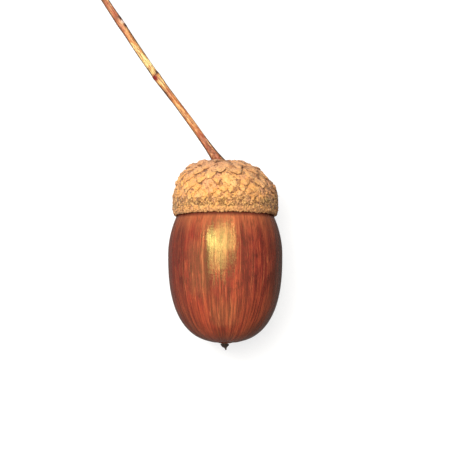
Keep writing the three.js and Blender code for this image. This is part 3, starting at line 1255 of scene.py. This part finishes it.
@dataclass
class Stalk:
    """The stalk: a thin woody stem that flares at the cap, swells at two scars and ends in a knob.

    Angles round it start on the right-hand side, as seen from above with the root below, and a quarter turn
    is its top. Distances along it start at the root, which is sunk in the cap. A rib has its count round the
    stalk, depth, phase and drift along it, and a swelling its height, place and spread.
    """

    seat: Seat
    floor: float = 14.0
    radius: float = 0.555
    root_radius: float = 1.13
    flare: float = 2.7
    knob_radius: float = 0.8
    rows: int = 620
    columns: int = 64
    random_furrows: int = 34
    sunk: float = 0.6
    ribs: tuple[tuple[int, float, float, float], ...] = (
        (5, 0.022, 0.0, 0.0),
        (9, 0.016, 1.0, 0.0),
        (13, 0.012, 0.0, 0.25),
    )
    swellings: tuple[tuple[float, float, float], ...] = (
        (0.08, 18.95, 0.5),
        (0.05, 17.9, 0.8),
        (0.05, 29.6, 1.4),
    )
    finish: BarkFinish = BarkFinish()
    ring_scar: tuple[Mark, Mark] = (Mark(2.25, 18.7, 0.62, 0.55), Mark(0.85, 19.35, 0.45, 0.32))
    side_scar: tuple[Mark, Mark] = (Mark(0.6, 28.85, 0.6, 0.36), Mark(0.65, 30.5, 0.6, 0.42))
    notch: Mark = Mark(0.65, 29.65, 0.5, 0.42)
    furrows: tuple[Mark, ...] = (
        Mark(1.3, 32.6, 0.13, 1.5),
        Mark(2.5, 15.7, 0.2, 0.7),
        Mark(0.4, 16.8, 0.25, 0.45),
        Mark(1.75, 23.0, 0.07, 1.8),
        Mark(1.2, 4.6, 0.12, 1.3),
    )
    stations: tuple[tuple[float, float, float], ...] = (
        (-2.95, 17.25, 7.2),
        (-5.7, 21.15, 6.4),
        (-11.5, 29.0, 4.9),
        (-16.9, 37.0, 3.3),
        (-24.0, 48.0, 0.64),
    )

    def line(self) -> tuple[Array, Array]:
        """A centripetal Catmull-Rom curve through the stations, walked in even steps.

        Returns:
            The centre line's points, of shape (rows, 3), and each point's distance from the root.
        """
        root = self.seat.place(np.array([-0.15, self.floor - self.sunk, 0.0]))
        knots = np.vstack([root, np.array(self.stations)])
        knots = np.vstack([2 * knots[0] - knots[1], knots, 2 * knots[-1] - knots[-2]])
        gaps = np.linalg.norm(np.diff(knots, axis=0), axis=1) ** 0.5
        times = np.concatenate([[0.0], np.cumsum(gaps)])
        spans = []
        for start in range(len(knots) - 3):
            p, t = knots[start : start + 4], times[start : start + 4]
            now = np.linspace(t[1], t[2], 200, endpoint=start == len(knots) - 4)[:, None]
            first = [between(p[i], p[i + 1], t[i], t[i + 1], now) for i in range(3)]
            second = [between(first[i], first[i + 1], t[i], t[i + 2], now) for i in range(2)]
            spans.append(between(second[0], second[1], t[1], t[2], now))
        fine = np.vstack(spans)
        steps = np.linalg.norm(np.diff(fine, axis=0), axis=1)
        marks = np.concatenate([[0.0], np.cumsum(steps)])
        even = np.linspace(0, marks[-1], self.rows)
        return np.stack([np.interp(even, marks, fine[:, i]) for i in range(3)], axis=-1), even

    def profile(self, along: Array, turn: Array, length: float) -> tuple[Array, dict[str, Array]]:
        """The radius: a flare that dies away, a knob, ribs, furrows, and bumps at the scars.

        Args:
            along: distances from the root, of shape (rows, 1).
            turn: angles round the stalk, of shape (1, columns).
            length: the whole length.

        Returns:
            The radius, of shape (rows, columns), and the values that the bark's colours read.
        """
        flare = (self.root_radius - self.radius) * np.exp(-((along / self.flare) ** 1.3))
        knob = (self.knob_radius - self.radius) * bump(along, length - 0.9, 1.1)
        node = sum(height * bump(along, place, spread) for height, place, spread in self.swellings)
        twist = turn + 0.05 * along + 0.25 * np.sin(along / 5)
        wrinkles = 0.02 * np.cos(along * 14 + 2 * np.sin(2 * turn)) * bump(along, 29.7, 1.2)
        ribs = sum(
            depth * np.cos(count * twist + phase + drift * along) for count, depth, phase, drift in self.ribs
        )
        waver = 0.012 * (np.sin(along / 3.1) + 0.7 * np.sin(along / 1.3 + 1.0))

        rng = np.random.default_rng(17)
        chance = rng.uniform((0, 2, 0.06, 0.5), (TURN, 41, 0.13, 2.2), (self.random_furrows, 4))
        furrow_and_shade = sum(mark.on(turn, along) for mark in (*self.furrows, *(Mark(*row) for row in chance)))
        furrow_and_shade = np.clip(furrow_and_shade, 0, 1)
        left, right = (mark.on(turn, along) for mark in self.ring_scar)
        ends = sum(mark.on(turn, along) for mark in self.side_scar)
        notch = self.notch.on(turn, along)
        radius = self.radius + flare + knob + node + ribs + waver + wrinkles - 0.05 * furrow_and_shade
        radius = radius + 0.07 * left + 0.05 * right + 0.10 * ends - 0.07 * notch

        # painted shade: the flanks, turned away from the lights above, darken in wavering streaks
        off_top = np.abs(turned_by(turn, math.pi / 2))
        flank = smooth_step(off_top, 0.72, 1.05) * smooth_step(off_top, 2.4, 2.0)
        painted_flank_shade = flank * (0.80 + 0.2 * np.sin(along / 1.7 + 2 * np.sin(turn)) * np.sin(along / 0.9))
        seam = 0.6 * bump(along, 19.05 + 0.25 * np.cos(turn), 0.12)
        end_scar = 0.7 * smooth_step(along, length - 0.5, length - 0.1) + 0 * turn
        # painted shade where the stalk sits in the cap's dimple
        painted_dimple_shade = 0.5 * smooth_step(1.6 - along, 0, 1.4)
        # the first value holds real furrows and the painted shade of the flanks and the dimple
        return radius, {
            "furrow_and_shade": np.clip(0.8 * furrow_and_shade + painted_flank_shade * (1 - left) + painted_dimple_shade, 0, 0.95),
            "red_scar": np.clip(1.6 * left, 0, 0.97),
            "dark_scar": np.clip(1.3 * right + 1.3 * ends + seam + end_scar, 0, 0.95),
            "pale_scar": np.clip(1.1 * notch - ends, 0, 0.9),
        }

    def build(self) -> bpy.types.Object:
        """Carries the profile along the line, square to it, and rounds off the free end.

        Returns:
            The piece.
        """
        line, even = self.line()
        length = float(even[-1])
        turn = np.linspace(0, TURN, self.columns, endpoint=False)[None]
        along = even[:, None]
        radius, values = self.profile(along, turn, length)
        radius = radius * (1 - 0.35 * smooth_step(along, length - 0.35, length))
        tangent = np.gradient(line, axis=0)
        tangent /= np.linalg.norm(tangent, axis=1, keepdims=True)
        side = np.cross(tangent, [0.0, 0.0, 1.0])
        side /= np.linalg.norm(side, axis=1, keepdims=True)
        above = np.cross(side, tangent)
        points = line[:, None] + radius[..., None] * (
            np.cos(turn)[..., None] * side[:, None] + np.sin(turn)[..., None] * above[:, None]
        )
        grit = (0.010 + 0.022 * smooth_step(7.0 - along, 0, 5.0)) * Unevenness(0.5, 41).at(points)
        points += grit[..., None] * above[:, None]
        points[..., 2] = np.maximum(points[..., 2], 0)
        grain = np.stack([np.cos(turn) + 0 * along, np.sin(turn) + 0 * along, along + 0 * turn], axis=-1)
        values = {**values, "grain": grain, "along": along + 0 * turn}
        skin = Skin("acorn_stalk")
        ends = np.stack([points[0].mean(0), points[-1].mean(0) - 0.12 * tangent[-1]])
        skin.add(points[None], ends[:1], ends[1:], {name: value[None] for name, value in values.items()})
        made = skin.piece(self.finish.material(length))
        finish_piece(made, "stalk")
        return made


@dataclass(frozen=True)
class Lamp:
    """A rectangular soft light: its place and size in metres, its face's radiance, and its colour."""

    name: str
    place: Place
    size: tuple[float, float]
    radiance: float
    tint: Colour


@dataclass
class Studio:
    """A pale table, soft lights and a camera that looks straight down on the acorn.

    The table's radii and the rise of its edge are metres. Its glow goes from a strength near the acorn to a
    strength far from it.
    """

    seat: Seat
    lens: float = 100.0
    distance: float = 206.5
    aim: tuple[float, float] = (-0.05, 2.97)
    fill: float = 0.32
    table_radii: tuple[float, ...] = (0.3, 0.8, 1.4, 2.0, 2.4, 2.6, 2.7)
    table_rise: tuple[float, ...] = (0.0, 0.0, 0.0, 0.1, 0.4, 0.9, 1.8)
    table_grey: float = 0.36
    glow_radii: tuple[float, float] = (0.08, 1.2)
    glow: tuple[float, float] = (0.70, 0.87)
    lamps: tuple[Lamp, ...] = (
        Lamp("key", (-0.06, 0.15, 0.40), (0.34, 0.28), 7.05, (1.0, 0.97, 0.92)),
        Lamp("strip", (-0.185, 0.154, 0.380), (0.09, 0.26), 11.5, (1.0, 0.99, 0.90)),
        Lamp("tip_fill", (0.0, -0.40, 0.32), (0.5, 0.4), 0.5, (1.0, 0.97, 0.95)),
        Lamp("side_fill", (-0.5, 0.0, 0.3), (0.4, 0.5), 0.9, (1.0, 0.98, 0.96)),
    )

    def disc(self, name: str, depth: float) -> bpy.types.Object:
        """Lays a wide disc whose edge sweeps up far out, as rings joined by four-sided faces.

        Args:
            name: the disc's name.
            depth: how far it lies under the acorn, in millimetres.

        Returns:
            The disc.
        """
        radius, rise = (np.array(part)[:, None] for part in (self.table_radii, self.table_rise))
        turn = np.linspace(0, TURN, 96, endpoint=False)[None]
        height = rise + 0 * turn - depth * MM
        rings = np.stack([radius * np.cos(turn), radius * np.sin(turn), height], axis=-1)
        ids = np.arange(rings[..., 0].size).reshape(rings.shape[:2])
        after = np.roll(ids, -1, axis=1)
        quads = np.stack([ids[:-1], ids[1:], after[1:], after[:-1]], axis=-1).reshape(-1, 4)
        mesh = bpy.data.meshes.new(name)
        mesh.from_pydata(rings.reshape(-1, 3).tolist(), [], [ids[0].tolist(), *quads.tolist()])
        mesh.shade_smooth()
        disc = bpy.data.objects.new(name, mesh)
        bpy.context.scene.collection.objects.link(disc)
        return disc

    def table(self) -> None:
        """Lays a pale disc that only the camera sees, and an unseen one under it that gives back light."""
        grey = (self.table_grey,) * 3
        for name, depth, seen in (("table_top", 0.004, True), ("table_bounce", 0.02, False)):
            disc = self.disc(name, depth)
            disc.visible_camera = seen
            disc.visible_diffuse = disc.visible_glossy = not seen
            bench = Bench(name)
            bench.fix(Base_Color=grey, Roughness=0.8, Specular_IOR_Level=0.1)
            if seen:
                bench.fix(Emission_Color=(1.0, 1.0, 1.0))
                glow = bench.span(bench.length(bench.place()), *self.glow_radii, self.glow)
                bench.wire(glow, "Emission Strength")
            disc.data.materials.append(bench.material)

    def hang(self, lamp: Lamp) -> None:
        """Hangs a light that faces the acorn. Its power is its radiance times pi times its area.

        Args:
            lamp: the light.
        """
        width, height = lamp.size
        light = bpy.data.lights.new(lamp.name, "AREA")
        light.shape = "RECTANGLE"
        light.size, light.size_y = width, height
        light.energy = lamp.radiance * math.pi * width * height
        light.color = lamp.tint
        hung = bpy.data.objects.new(lamp.name, light)
        bpy.context.scene.collection.objects.link(hung)
        hung.location = lamp.place
        hung.rotation_euler = Vector(lamp.place).to_track_quat("Z", "Y").to_euler()
        hung.visible_camera = False

    def camera(self) -> None:
        """Puts the camera straight above the acorn's axis, with the stalk towards the top of the picture."""
        across, along = self.aim
        centre = self.seat.place(np.array([across, along, 0.0]))
        view = bpy.data.cameras.new("view")
        view.lens = self.lens
        view.sensor_width = 36.0
        view.clip_start = 0.01
        placed = bpy.data.objects.new("view", view)
        placed.location = ((centre + [0, 0, self.distance]) * MM).tolist()
        bpy.context.scene.collection.objects.link(placed)
        bpy.context.scene.camera = placed

    def build(self) -> None:
        """Makes the table, the camera, the lights and the surrounding glow."""
        self.table()
        self.camera()
        for lamp in self.lamps:
            self.hang(lamp)
        world = bpy.data.worlds.new("surround")
        world.use_nodes = True
        glow = world.node_tree.nodes["Background"]
        glow.inputs["Color"].default_value = (1.0, 1.0, 1.0, 1.0)
        glow.inputs["Strength"].default_value = self.fill
        bpy.context.scene.world = world
        bpy.context.scene.view_settings.view_transform = "Standard"


def main() -> None:
    logging.basicConfig(level=logging.INFO, format="%(name)s: %(message)s")
    seat = Seat()
    Studio(seat).build()
    nut = Nut(seat)
    nut.build()
    StyleTip(seat).build()
    Cap(seat, nut).build()
    Stalk(seat).build()


if __name__ == "__main__":
    main()
